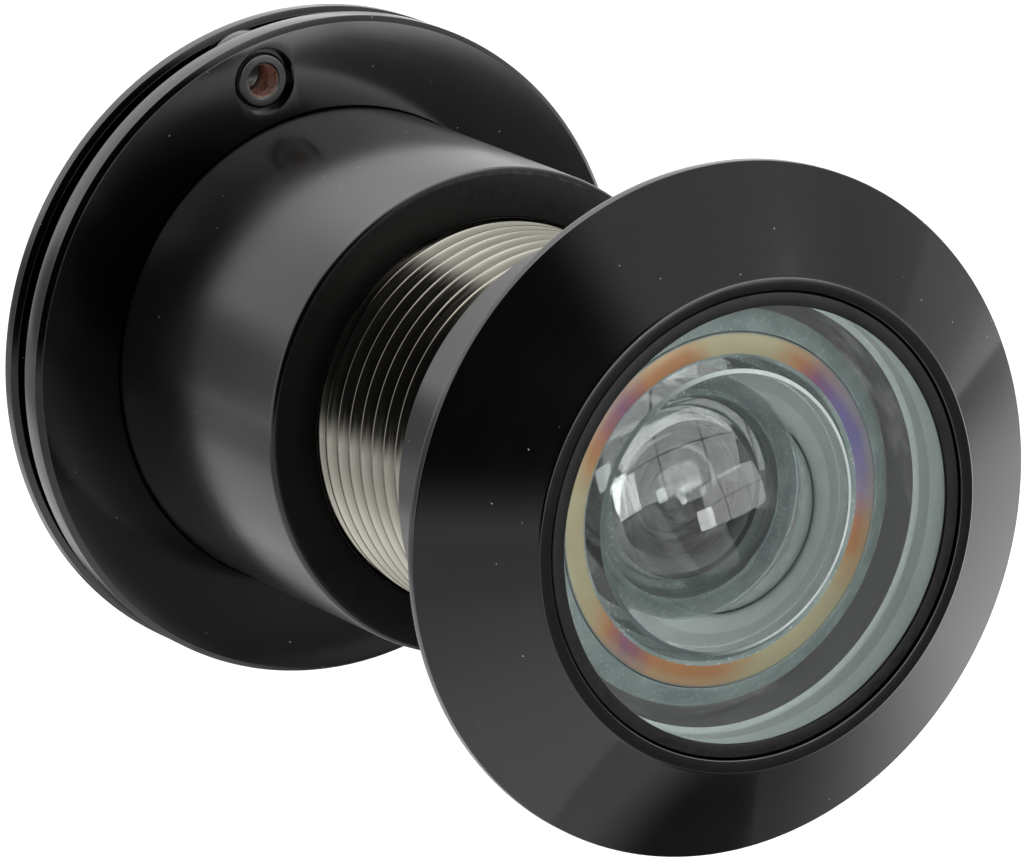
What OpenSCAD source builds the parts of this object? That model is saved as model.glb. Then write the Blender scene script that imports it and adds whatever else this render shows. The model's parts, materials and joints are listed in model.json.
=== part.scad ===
// Wide-angle door viewer with a swinging privacy cover.
// The optical axis runs along +Y, from the street side to the room side.
// The origin lies on that axis, in the plane where the outer flange bears on the door.
// +Z points to the pivot of the cover.

/* [Door] */
// Thickness of the door that the two halves clamp, in a hole of 28
door_t = 41.25; // [36:0.25:45]

/* [Outer flange] */
// Diameter of the outer flange
flange_d = 38; // [36:0.5:42]
// Thickness of the flange at its rim
flange_rim_t = 0.6; // [0.5:0.1:1.2]
// Height of the coned face, from the door to the lip
flange_h = 4.25; // [4.25:0.05:5]
// Outer diameter of the lip around the lens
lip_d = 27.1; // [26.6:0.1:28]
// Diameter of the collar that enters the door
collar_d = 26.4; // [26:0.1:27]
// Length of the collar behind the flange
collar_l = 11.3; // [11:0.1:12.5]

/* [Threaded barrel] */
// Outside diameter of the thread
thread_d = 21.8; // [21.6:0.05:21.8]
// Pitch of the thread
thread_pitch = 1.25; // [1:0.25:1.5]
// Depth of the thread
thread_depth = 0.55; // [0.4:0.05:0.6]
// Distance from the door's face to the barrel's far end
barrel_end = 33; // [32:0.25:33.5]

/* [Lenses] */
// Diameter of the objective lens
objective_d = 24.2; // [24:0.1:24.3]
// Thickness of the objective lens at its edge
objective_t = 5; // [4.8:0.1:5.2]
// Depth of the hollow in the objective lens
objective_sag = 3.7; // [3:0.1:3.9]
// Diameter of the eyepiece lens
eyepiece_d = 19.8; // [19:0.1:19.8]

/* [Inner half] */
// Diameter of the sleeve
sleeve_d = 27.6; // [27.2:0.1:27.8]
// Length of the sleeve in the door
sleeve_l = 17.5; // [17:0.25:17.5]
// Diameter of the rose and of its cover
rose_d = 38; // [38:0.5:42]
// Thickness of the rose
rose_t = 1.63; // [1.6:0.01:2]
// Gap between the rose and the cover
cover_gap = 1.27; // [1.25:0.01:1.5]
// Thickness of the cover at its rim
cover_t = 1.27; // [1.2:0.01:1.6]
// Distance from the optical axis to the cover's pivot
pivot_z = 16.45; // [16.4:0.05:16.6]

/* [Hidden] */
$fn = 96;

// Small clearances
run_fit = 0.05;
glass_fit = 0.05;
face_gap = 0.02;
overshoot = 1;
edge_chamfer = 0.3;

// Outer flange
flange_r = flange_d / 2;
lip_r = lip_d / 2;
lip_bore_r = 12.75;
collar_r = collar_d / 2;
cell_bore_r = 9.75;
barrel_plug_r = 10.45;
plug_fit = 0.02;
barrel_start = 8;

// Objective lens: its flat face lies just behind the lip
objective_y0 = -flange_h + 0.35;
objective_y1 = objective_y0 + objective_t;
objective_r = objective_d / 2;
objective_hollow_r = 8.3;
seal_inner_r = 11.9;
seal_outer_r = 12.65;
seal_front_y = objective_y0 - 0.25;

// Lens cell and the second lens
cell_r = cell_bore_r - glass_fit;
cell_end = barrel_start - 0.1;
cell_lip_r = 6.9;
cell_lip_t = 0.3;
second_r = 8.25;
second_y0 = 4.6;
second_y1 = cell_end - cell_lip_t;
second_hollow_r = 6.2;
second_sag = 2.2;
clamp_t = 0.3;
clamp_inner_r = 7.8;

// Third lens, in the mouth of the barrel
third_pocket_r = 8.9;
third_r = third_pocket_r - glass_fit;
third_y0 = 8.2;
third_y1 = 10.6;
third_hollow_r = 5.6;
third_sag = 1.4;
spacer_inner_r = 7.4;

// Threaded barrel
thread_r = thread_d / 2;
thread_root_r = thread_r - thread_depth;
thread_start = collar_l;
thread_count = floor((barrel_end - thread_start - thread_pitch / 2) / thread_pitch);
thread_flat = thread_pitch / 6;
barrel_bore_r = 8.2;
baffle_seat_r = 8.8;
baffle_seat_l = 1.5;
baffle_t = 1.2;
baffle_inner_r = 5.5;

// Sleeve, seen along the axis
sleeve_r = sleeve_d / 2;
sleeve_y0 = door_t - sleeve_l;
sleeve_bore_r = thread_r + run_fit;
sleeve_round = 0.4;
eye_lip_y = door_t - 1.75;
eye_lip_t = 0.6;
eye_window_r = 8.2;
eyepiece_r = eyepiece_d / 2;
eye_pocket_r = eyepiece_r + glass_fit;
gasket_t = 0.3;
eyepiece_edge_t = 1.6;
eyepiece_bulge = 0.8;
eye_y0 = eye_lip_y + eye_lip_t + gasket_t;
eye_y1 = eye_y0 + eyepiece_edge_t;
eye_curve_r = eye_window_r - 0.1;

// Rose
rose_r = rose_d / 2;
rose_bore_r = sleeve_r + run_fit;
rose_y1 = door_t + rose_t;
shoulder_r = 14.6;
shoulder_t = 0.5;
shoulder_seat_r = shoulder_r + 0.15;
shoulder_seat_t = shoulder_t + 0.06;
hub_r = 12.6;
hub_y1 = rose_y1 + 0.75;
o_ring_groove_r = 13.2;
o_ring_y0 = door_t + 0.25;
o_ring_w = 0.7;

// Slots in the sleeve's hub, for a coin
slot_w = 2.2;
slot_depth = 0.6;
ring_y1 = hub_y1 - 0.1;
ring_inner_r = 8.3;
ring_notch_w = 1.6;
ring_notch_depth = 0.5;

// Cover and its pivot
cover_y0 = rose_y1 + cover_gap;
cover_rim_y1 = cover_y0 + cover_t;
cover_dome_h = 0.7;
cover_flat_r = 17.2;
dome_steps = 12;
rivet_r = 1.45;
rivet_bore_r = 0.92;
rivet_bore_l = 2.6;
rivet_flare_r = 1.5;
rivet_flare_y0 = door_t + 0.18;
countersink_r = 1.85;
countersink_depth = 0.5;
rivet_head_r = 2.2;
rivet_head_h = 0.9;
head_seat_depth = 0.3;
head_seat_r = rivet_head_r + 0.2;
spacer_r = 2.5;
pivot_spacer_t = 0.87;
spring_r = 2.35;
spring_t = 0.16;
spring_rise = 0.18;
pad_r = 9;
pad_t = 0.3;

// A solid of revolution about the optical axis. Points are [radius, distance along +Y].
module turned(points) {
    rotate([-90, 0, 0])
        rotate_extrude()
            polygon(points);
}

// A ring with a rectangular section
module ring(inner_r, outer_r, y0, y1) {
    turned([[inner_r, y0], [outer_r, y0], [outer_r, y1], [inner_r, y1]]);
}

// A round bar along +Y
module bar(r, y0, y1) {
    translate([0, y0, 0])
        rotate([-90, 0, 0])
            cylinder(r = r, h = y1 - y0);
}

// Moves a pivot piece from the optical axis to the pivot axis
module at_pivot() {
    translate([0, 0, pivot_z])
        children();
}

// Radius of the sphere that a hollow of this half-width and depth belongs to
function curve_radius(half_width, sag) = (half_width * half_width + sag * sag) / (2 * sag);

// A lens with a flat street face and a hollow in its room face
module hollow_lens(r, y0, y1, hollow_r, sag) {
    curve_r = curve_radius(hollow_r, sag);
    difference() {
        bar(r, y0, y1);
        translate([0, y1 - sag + curve_r, 0])
            sphere(r = curve_r, $fn = 128);
    }
}

// Section of one side of the thread: a trapezoid for each turn
function thread_points() = [
    for (turn = [0 : thread_count - 1])
        let (y = thread_start + thread_pitch * (turn + 0.5))
            each [
                [thread_root_r, y - thread_pitch / 2 + thread_flat / 2],
                [thread_r, y - thread_flat / 2],
                [thread_r, y + thread_flat / 2],
                [thread_root_r, y + thread_pitch / 2 - thread_flat / 2]
            ]
];

// Outer half

module outer_flange() {
    color("#1b1b1c")
        turned([
            [flange_r, -flange_rim_t],
            [lip_r, -flange_h + 0.1],
            [lip_r - 0.1, -flange_h],
            [lip_bore_r, -flange_h],
            [lip_bore_r, objective_y1],
            [cell_bore_r, objective_y1],
            [cell_bore_r, barrel_start],
            [barrel_plug_r + plug_fit, barrel_start],
            [barrel_plug_r + plug_fit, collar_l],
            [collar_r - edge_chamfer, collar_l],
            [collar_r, collar_l - edge_chamfer],
            [collar_r, 0],
            [flange_r, 0]
        ]);
}

module threaded_barrel() {
    color("#a8a397")
        turned(concat(
            [
                [barrel_bore_r, third_y1],
                [third_pocket_r, third_y1],
                [third_pocket_r, barrel_start],
                [barrel_plug_r, barrel_start],
                [barrel_plug_r, thread_start],
                [thread_root_r, thread_start]
            ],
            thread_points(),
            [
                [thread_root_r, barrel_end],
                [baffle_seat_r, barrel_end],
                [baffle_seat_r, barrel_end - baffle_seat_l],
                [barrel_bore_r, barrel_end - baffle_seat_l]
            ]
        ));
}

module lens_seal() {
    color("#141414")
        turned([
            [seal_inner_r, seal_front_y],
            [seal_outer_r, seal_front_y],
            [seal_outer_r, objective_y1],
            [objective_r + glass_fit, objective_y1],
            [objective_r + glass_fit, objective_y0],
            [seal_inner_r, objective_y0]
        ]);
}

module objective_lens() {
    color("#a9c4bd", 0.4)
        hollow_lens(objective_r, objective_y0, objective_y1, objective_hollow_r, objective_sag);
}

module lens_cell() {
    color("#7f8a88")
        turned([
            [second_r + glass_fit, objective_y1],
            [cell_r, objective_y1],
            [cell_r, cell_end],
            [cell_lip_r, cell_end],
            [cell_lip_r, second_y1],
            [second_r + glass_fit, second_y1]
        ]);
}

module lens_clamp_ring() {
    color("#b9c2c0")
        ring(clamp_inner_r, second_r + glass_fit / 2, second_y0 - clamp_t, second_y0);
}

module second_lens() {
    color("#a9c4bd", 0.4)
        hollow_lens(second_r, second_y0, second_y1, second_hollow_r, second_sag);
}

module lens_spacer() {
    color("#202020")
        ring(spacer_inner_r, third_r, cell_end, third_y0);
}

module third_lens() {
    color("#a9c4bd", 0.4)
        hollow_lens(third_r, third_y0, third_y1, third_hollow_r, third_sag);
}

module light_baffle() {
    color("#181818")
        ring(baffle_inner_r, baffle_seat_r - run_fit, barrel_end - baffle_seat_l, barrel_end - baffle_seat_l + baffle_t);
}

// Inner rose and the pivot that it carries

module rose() {
    color("#1b1b1c")
        difference() {
            turned([
                [rose_bore_r, door_t],
                [rose_r - edge_chamfer, door_t],
                [rose_r, door_t + edge_chamfer],
                [rose_r, rose_y1],
                [shoulder_seat_r, rose_y1],
                [shoulder_seat_r, rose_y1 - shoulder_seat_t],
                [rose_bore_r, rose_y1 - shoulder_seat_t]
            ]);
            at_pivot()
                bar(rivet_r, door_t - overshoot, rose_y1 + overshoot);
            at_pivot()
                bar(countersink_r, door_t - overshoot, door_t + countersink_depth);
        }
}

module pivot_rivet() {
    countersink_y = door_t + countersink_depth;
    seat_y = cover_rim_y1 - head_seat_depth;
    color("#b0715a")
        at_pivot()
            turned([
                [rivet_bore_r, rivet_flare_y0],
                [rivet_flare_r, rivet_flare_y0],
                [rivet_flare_r + 0.1, rivet_flare_y0 + 0.1],
                [rivet_flare_r + 0.1, countersink_y],
                [rivet_r, countersink_y],
                [rivet_r, seat_y],
                [rivet_head_r, seat_y + face_gap],
                [rivet_head_r, seat_y + rivet_head_h * 0.4],
                [rivet_head_r - 0.6, seat_y + rivet_head_h * 0.85],
                [0, seat_y + rivet_head_h],
                [0, rivet_flare_y0 + rivet_bore_l],
                [rivet_bore_r, rivet_flare_y0 + rivet_bore_l - 0.4]
            ]);
}

module pivot_spacer() {
    color("#2a2a2b")
        at_pivot()
            ring(rivet_r + face_gap, spacer_r, rose_y1, rose_y1 + pivot_spacer_t);
}

module spring_washer() {
    y0 = rose_y1 + pivot_spacer_t;
    inner_r = rivet_r + 0.1;
    color("#c8c8c4")
        at_pivot()
            turned([
                [inner_r, y0 + spring_rise],
                [spring_r, y0],
                [spring_r, y0 + spring_t],
                [inner_r, y0 + spring_rise + spring_t]
            ]);
}

// Turning sleeve with the eyepiece

module inner_sleeve() {
    shoulder_y1 = rose_y1 - 0.03;
    color("#1e1e1f")
        difference() {
            turned([
                [sleeve_bore_r, sleeve_y0],
                [sleeve_r - sleeve_round, sleeve_y0],
                [sleeve_r - 0.12, sleeve_y0 + 0.12],
                [sleeve_r, sleeve_y0 + sleeve_round],
                [sleeve_r, o_ring_y0],
                [o_ring_groove_r, o_ring_y0],
                [o_ring_groove_r, o_ring_y0 + o_ring_w],
                [sleeve_r, o_ring_y0 + o_ring_w],
                [sleeve_r, shoulder_y1 - shoulder_t],
                [shoulder_r, shoulder_y1 - shoulder_t],
                [shoulder_r, shoulder_y1],
                [hub_r, shoulder_y1],
                [hub_r, hub_y1],
                [eye_pocket_r, hub_y1],
                [eye_pocket_r, eye_lip_y + eye_lip_t],
                [eye_window_r, eye_lip_y + eye_lip_t],
                [eye_window_r, eye_lip_y],
                [sleeve_bore_r, eye_lip_y]
            ]);
            translate([-slot_w / 2, hub_y1 - slot_depth, -hub_r - overshoot])
                cube([slot_w, slot_depth + overshoot, 2 * (hub_r + overshoot)]);
        }
}

module sleeve_o_ring() {
    mid_y = o_ring_y0 + o_ring_w / 2;
    cord_r = (sleeve_r + 0.03 - o_ring_groove_r) / 2;
    color("#0f0f0f")
        rotate([-90, 0, 0])
            rotate_extrude()
                translate([o_ring_groove_r + cord_r, mid_y])
                    circle(r = cord_r - 0.01, $fn = 32);
}

module eyepiece_gasket() {
    color("#0f0f0f")
        ring(eye_window_r + 0.3, eyepiece_r, eye_lip_y + eye_lip_t, eye_y0);
}

// Both faces bulge inside a flat edge, where the gasket and the ring bear
module eyepiece_lens() {
    curve_r = curve_radius(eye_curve_r, eyepiece_bulge);
    color("#a9c4bd", 0.4)
        union() {
            bar(eyepiece_r, eye_y0, eye_y1);
            intersection() {
                bar(eye_curve_r, eye_y0 - eyepiece_bulge - overshoot, eye_y1 + eyepiece_bulge + overshoot);
                translate([0, eye_y0 - eyepiece_bulge + curve_r, 0])
                    sphere(r = curve_r, $fn = 240);
                translate([0, eye_y1 + eyepiece_bulge - curve_r, 0])
                    sphere(r = curve_r, $fn = 240);
            }
        }
}

module eyepiece_ring() {
    color("#1b1b1c")
        difference() {
            ring(ring_inner_r, eye_pocket_r - face_gap, eye_y1 + face_gap, ring_y1);
            translate([-eye_pocket_r - overshoot, ring_y1 - ring_notch_depth, -ring_notch_w / 2])
                cube([2 * (eye_pocket_r + overshoot), ring_notch_depth + overshoot, ring_notch_w]);
        }
}

// Privacy cover

// Outline of the cover's low dome, from its edge to its middle
function dome_points() = [
    for (step = [0 : dome_steps])
        let (r = cover_flat_r * (1 - step / dome_steps))
            [r, cover_rim_y1 + cover_dome_h * (1 - pow(r / cover_flat_r, 2))]
];

module privacy_cover() {
    color("#1b1b1c")
        difference() {
            turned(concat(
                [
                    [0, cover_y0],
                    [rose_r - edge_chamfer, cover_y0],
                    [rose_r, cover_y0 + edge_chamfer],
                    [rose_r, cover_rim_y1 - edge_chamfer],
                    [rose_r - edge_chamfer, cover_rim_y1]
                ],
                dome_points()
            ));
            at_pivot()
                bar(rivet_r + run_fit, cover_y0 - overshoot, cover_rim_y1 + overshoot);
            at_pivot()
                bar(head_seat_r, cover_rim_y1 - head_seat_depth, cover_rim_y1 + cover_dome_h + overshoot);
        }
}

module cover_pad() {
    color("#101010")
        bar(pad_r, cover_y0 - pad_t, cover_y0);
}

outer_flange();
threaded_barrel();
lens_seal();
objective_lens();
lens_cell();
lens_clamp_ring();
second_lens();
lens_spacer();
third_lens();
light_baffle();
rose();
pivot_rivet();
pivot_spacer();
spring_washer();
inner_sleeve();
sleeve_o_ring();
eyepiece_gasket();
eyepiece_lens();
eyepiece_ring();
privacy_cover();
cover_pad();
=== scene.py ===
import json
import math

import bmesh
import bpy
from mathutils import Matrix, Vector


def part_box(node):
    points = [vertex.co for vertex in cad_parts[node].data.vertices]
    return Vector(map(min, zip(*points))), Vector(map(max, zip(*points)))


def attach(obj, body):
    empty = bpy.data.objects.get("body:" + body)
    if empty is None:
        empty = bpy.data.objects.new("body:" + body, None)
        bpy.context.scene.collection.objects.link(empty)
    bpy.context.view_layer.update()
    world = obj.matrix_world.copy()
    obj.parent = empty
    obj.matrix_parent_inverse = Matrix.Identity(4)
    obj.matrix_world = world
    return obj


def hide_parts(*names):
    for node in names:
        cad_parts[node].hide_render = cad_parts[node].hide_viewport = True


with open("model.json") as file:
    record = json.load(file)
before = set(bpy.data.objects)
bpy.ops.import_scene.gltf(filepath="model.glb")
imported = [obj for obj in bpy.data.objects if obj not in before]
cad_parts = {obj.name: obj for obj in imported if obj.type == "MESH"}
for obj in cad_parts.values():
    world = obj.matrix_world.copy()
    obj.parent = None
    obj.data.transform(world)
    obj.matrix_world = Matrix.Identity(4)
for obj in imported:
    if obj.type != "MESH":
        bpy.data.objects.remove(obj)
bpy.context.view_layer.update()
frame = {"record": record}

# The look of a wide-angle door viewer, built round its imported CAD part.
# The optical axis is +Y, from the street side to the room side; +Z points to the cover's pivot.
# Lengths are in millimetres, and MM turns them into Blender's metres.
MM = 0.001
BODY_OF = {
    node: body
    for body, nodes in frame["record"]["behaviour"]["bodies"].items()
    for node in nodes
}


def low(node):
    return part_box(node)[0] / MM


def high(node):
    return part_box(node)[1] / MM


# ------------------------------------------------------------------ places, from the frame
FLANGE_R = high("outer_flange").x
LIP_Y = low("outer_flange").y
COLLAR_END = high("outer_flange").y
LENS_R = high("objective_lens").x
LENS_FRONT = low("objective_lens").y
LENS_BACK = high("objective_lens").y
SEAL_R = high("lens_seal").x
SEAL_FRONT = low("lens_seal").y
CELL_R = high("lens_cell").x
CELL_BACK = high("lens_cell").y
SECOND_R = high("second_lens").x
SECOND_FRONT = low("second_lens").y
SECOND_BACK = high("second_lens").y
CLAMP_FRONT = low("lens_clamp_ring").y
THIRD_R = high("third_lens").x
THIRD_FRONT = low("third_lens").y
THIRD_BACK = high("third_lens").y
THREAD_R = high("threaded_barrel").x
BARREL_FRONT = low("threaded_barrel").y
BARREL_BACK = high("threaded_barrel").y
BAFFLE_R = high("light_baffle").x
BAFFLE_FRONT = low("light_baffle").y
BAFFLE_BACK = high("light_baffle").y
SLEEVE_FRONT = low("inner_sleeve").y
HUB_BACK = high("inner_sleeve").y
ROSE_R = high("rose").x
ROSE_FRONT = low("rose").y
ROSE_BACK = high("rose").y
RIVET_FRONT = low("pivot_rivet").y
RIVET_BACK = high("pivot_rivet").y
PIVOT_Z = (low("pivot_rivet").z + high("pivot_rivet").z) / 2
SPACER_BACK = high("pivot_spacer").y
COVER_FRONT = low("privacy_cover").y
COVER_BACK = high("privacy_cover").y
PAD_R = high("cover_pad").x
PAD_FRONT = low("cover_pad").y
EYE_R = high("eyepiece_lens").x
EYE_FRONT = low("eyepiece_lens").y
EYE_BACK = high("eyepiece_lens").y
EYE_RING_FRONT = low("eyepiece_ring").y
EYE_RING_BACK = high("eyepiece_ring").y

# ------------------------------------------------------------------ sizes that the frame's boxes don't give
GAP = 0.02  # kept between touching pieces, so that no two faces lie in one plane
LIP_R = 13.55
LIP_BORE_R = 12.75
RIM_T = 0.6
COLLAR_R = 13.2
HOLLOW_R = 7.83
HOLLOW_SAG = 3.6
LEDGE_R = 11.75  # the lens rests on the flange outside this radius
STEP_R = 10.9  # the bottom of the black step behind that ledge
RING_Y = LENS_BACK + 0.55  # the coloured front ring of the cell
STEP_DEPTH = 0.85  # from that ring to the bottom of the step
PLUG_R = 10.47  # the barrel's end in the collar
RING_OUTER_R = 9.69  # where the ring's colours end
SLEEVE_R = 13.8
SLEEVE_BORE_R = THREAD_R + 0.05
THREAD_PITCH = 1.25
THREAD_DEPTH = 0.55
RIVET_R = 1.45
COUNTERSINK_R = 1.85
COUNTERSINK_T = 0.5
RIVET_BORE_R = 0.92
HEAD_T = 0.9  # the rivet's head, sunk in the cover

# how finely round parts are divided, and how meshes are cleaned and shaded
ROUND = 256
SMALL_ROUND = 96
WELD = 1e-7  # metres
SHARP_DEG = 32
THREAD_SHARP_DEG = 40


# ------------------------------------------------------------------ mesh helpers
def corner(before, at, after, radius, steps):
    """Points of an arc that rounds one corner of an outline."""
    a, p, b = Vector(before), Vector(at), Vector(after)
    u, v = (a - p).normalized(), (b - p).normalized()
    half = u.angle(v) / 2
    reach = min(radius / math.tan(half), (a - p).length * 0.49, (b - p).length * 0.49)
    radius = reach * math.tan(half)
    centre = p + (u + v).normalized() * (radius / math.sin(half))
    start, end = p + u * reach - centre, p + v * reach - centre
    sweep = start.angle(end)
    points = []
    for i in range(steps + 1):
        t = i / steps
        turned = start * math.sin((1 - t) * sweep) + end * math.sin(t * sweep)
        points.append(centre + turned / math.sin(sweep))
    return points


def outline(points, radius=0.06, steps=4):
    """A closed outline of (radius, y) points with rounded corners. A third value is a corner's own radius."""
    flat = [Vector(p[:2]) for p in points]
    result = []
    for i, p in enumerate(points):
        own = p[2] if len(p) > 2 else radius
        before, after = flat[i - 1], flat[(i + 1) % len(flat)]
        straight = abs((flat[i] - before).angle(after - flat[i])) < math.radians(8)
        if own <= 0 or straight or p[0] < 1e-6:
            result.append(flat[i])
        else:
            result.extend(corner(before, flat[i], after, own, steps))
    return result


def vectors(*points):
    return [Vector(p) for p in points]


def new_object(name, mesh):
    obj = bpy.data.objects.new(name, mesh)
    bpy.context.scene.collection.objects.link(obj)
    return obj


def shade_smooth(mesh, sharp_deg):
    """Smooth shading, broken where two faces meet at more than sharp_deg."""
    mesh.polygons.foreach_set("use_smooth", [True] * len(mesh.polygons))
    mesh.set_sharp_from_angle(angle=math.radians(sharp_deg))


def finish_mesh(bm, name, sharp_deg=SHARP_DEG):
    """Welds and cleans the mesh, turns its normals outwards, and makes an object of it."""
    bmesh.ops.remove_doubles(bm, verts=bm.verts, dist=WELD)
    bmesh.ops.dissolve_degenerate(bm, dist=WELD, edges=bm.edges)
    bmesh.ops.recalc_face_normals(bm, faces=bm.faces)
    mesh = bpy.data.meshes.new(name)
    bm.to_mesh(mesh)
    bm.free()
    shade_smooth(mesh, sharp_deg)
    return new_object(name, mesh)


def lathe(name, points, z=0.0, segments=ROUND):
    """A closed solid of revolution about an axis along +Y at height z. Points are Vectors of (radius, y)."""
    bm = bmesh.new()
    rings = []
    for p in points:
        if p.x < 1e-6:
            rings.append([bm.verts.new((0, p.y * MM, z * MM))])
            continue
        ring = []
        for i in range(segments):
            turn = 2 * math.pi * i / segments
            ring.append(bm.verts.new((p.x * math.sin(turn) * MM, p.y * MM, (z + p.x * math.cos(turn)) * MM)))
        rings.append(ring)
    for ring, following in zip(rings, rings[1:] + rings[:1]):
        if len(ring) == 1 and len(following) == 1:
            continue
        for i in range(segments):
            j = (i + 1) % segments
            a, b = ring[i % len(ring)], ring[j % len(ring)]
            c, d = following[j % len(following)], following[i % len(following)]
            face = [a, b, c, d]
            if len(ring) == 1:
                face = [a, c, d]
            if len(following) == 1:
                face = [a, b, c]
            bm.faces.new(face)
    return finish_mesh(bm, name)


def cut(obj, cutter):
    """Takes another mesh away from the object, keeps the result in its own mesh, and removes the cutter."""
    modifier = obj.modifiers.new("cut", "BOOLEAN")
    modifier.operation = "DIFFERENCE"
    modifier.solver = "EXACT"
    modifier.object = cutter
    bpy.context.view_layer.update()
    graph = bpy.context.evaluated_depsgraph_get()
    mesh = bpy.data.meshes.new_from_object(obj.evaluated_get(graph))
    obj.modifiers.clear()
    obj.data = mesh
    shade_smooth(mesh, SHARP_DEG)
    bpy.data.objects.remove(cutter)
    return obj


def block(name, size, centre, bevel=0.15):
    """A box with bevelled edges, used as a cutter for slots and notches."""
    bm = bmesh.new()
    bmesh.ops.create_cube(bm, size=1.0)
    bmesh.ops.scale(bm, vec=Vector(size) * MM, verts=bm.verts)
    bmesh.ops.bevel(bm, geom=bm.edges[:], offset=bevel * MM, segments=3, affect="EDGES")
    bmesh.ops.translate(bm, vec=Vector(centre) * MM, verts=bm.verts)
    return finish_mesh(bm, name)


def cap(half_width, sag, y_edge, direction, steps=24):
    """Points of a spherical face, from its edge to the axis. It bulges towards direction along y."""
    sphere = (half_width**2 + sag**2) / (2 * sag)
    centre = y_edge + direction * (sag - sphere)
    widest = math.asin(min(1.0, half_width / sphere))
    if sag > half_width:
        widest = math.pi - widest
    angles = [widest * (1 - i / steps) for i in range(steps + 1)]
    return [Vector((sphere * math.sin(a), centre + direction * sphere * math.cos(a))) for a in angles]


# ------------------------------------------------------------------ material helpers
class Nodes:
    """A short way to write a node tree: each call adds a node and returns its output."""

    def __init__(self, tree):
        self.tree = tree

    def add(self, kind, inputs=None, output=0, **settings):
        node = self.tree.nodes.new(kind)
        for name, value in settings.items():
            setattr(node, name, value)
        for key, value in (inputs or {}).items():
            self.put(node.inputs[key], value)
        return node.outputs[output]

    def put(self, socket, value):
        if isinstance(value, bpy.types.NodeSocket):
            self.tree.links.new(value, socket)
        else:
            socket.default_value = value

    def math(self, operation, a, b=0.0):
        return self.add("ShaderNodeMath", {0: a, 1: b}, operation=operation)

    def vector(self, operation, a, b=(0, 0, 0)):
        output = 1 if operation in ("DOT_PRODUCT", "LENGTH", "DISTANCE") else 0
        return self.add("ShaderNodeVectorMath", {0: a, 1: b}, output, operation=operation)

    def ramp(self, value, low_in, high_in, low_out=0.0, high_out=1.0, smooth=True):
        kind = "SMOOTHSTEP" if smooth else "LINEAR"
        inputs = {"Value": value, "From Min": low_in, "From Max": high_in}
        inputs.update({"To Min": low_out, "To Max": high_out})
        return self.add("ShaderNodeMapRange", inputs, interpolation_type=kind)

    def mix(self, factor, a, b):
        return self.add("ShaderNodeMix", {0: factor, 6: a, 7: b}, 2, data_type="RGBA")

    def noise(self, vector, scale, detail=3.0, roughness=0.5):
        inputs = {"Vector": vector, "Scale": scale, "Detail": detail, "Roughness": roughness}
        return self.add("ShaderNodeTexNoise", inputs)

    def combine(self, x=0.0, y=0.0, z=0.0):
        return self.add("ShaderNodeCombineXYZ", {0: x, 1: y, 2: z})

    def split(self, vector):
        node = self.tree.nodes.new("ShaderNodeSeparateXYZ")
        self.put(node.inputs[0], vector)
        return node.outputs


def grey(value, warm=0.0):
    return (value * (1 + warm), value, value * (1 - warm), 1)


def new_material(name):
    material = bpy.data.materials.new(name)
    material.use_nodes = True
    tree = material.node_tree
    shader = tree.nodes["Principled BSDF"]
    return material, Nodes(tree), shader.inputs


def object_place(n):
    """The place on the object, in metres."""
    return n.add("ShaderNodeTexCoord", output=3)


def round_places(n, pivot_z=0.0):
    """Place on the object in metres, distance from the turning axis, and a vector in which lines round the
    axis are long and lines across it are short."""
    place = object_place(n)
    x, y, z = n.split(place)
    across = n.math("SUBTRACT", z, pivot_z * MM)
    radius = n.vector("LENGTH", n.combine(x, 0.0, across))
    round_trip = n.vector("NORMALIZE", n.combine(x, 0.0, across))
    rx, _, rz = n.split(round_trip)
    rings = n.combine(n.math("MULTIPLY", rx, 0.0006), n.math("ADD", radius, n.math("MULTIPLY", y, 0.83)),
                      n.math("MULTIPLY", rz, 0.0006))
    return place, radius, rings


def frontward(n, share):
    """A normal that leans towards the street side, -Y, so that frosted walls gather light from there."""
    surface = n.add("ShaderNodeNewGeometry", output=1)
    front = n.add("ShaderNodeVectorTransform", {0: (0, -1, 0)}, vector_type="NORMAL", convert_from="OBJECT",
                  convert_to="WORLD")
    leaned = n.add("ShaderNodeMix", {0: share, 4: surface, 5: front}, 1, data_type="VECTOR")
    return n.vector("NORMALIZE", leaned)


def edge_mask(n, width):
    """1 on edges, 0 on flat faces, from how far a rounded normal leans away."""
    bevel = n.add("ShaderNodeBevel", {"Radius": width * MM}, samples=4)
    flat = n.add("ShaderNodeNewGeometry", output=1)
    return n.ramp(n.vector("DOT_PRODUCT", bevel, flat), 0.995, 0.90)


def specks(n, place, scale, share, size):
    """Small spots scattered over a surface: 1 in a spot, 0 outside."""
    cells = n.add("ShaderNodeTexVoronoi", {"Vector": place, "Scale": scale}, 0, feature="F1")
    tints = n.add("ShaderNodeTexVoronoi", {"Vector": place, "Scale": scale}, 1, feature="F1")
    chosen = n.math("LESS_THAN", n.split(tints)[0], share)
    spot = n.ramp(cells, size, size * 0.4)
    return n.math("MULTIPLY", chosen, spot)


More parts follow.
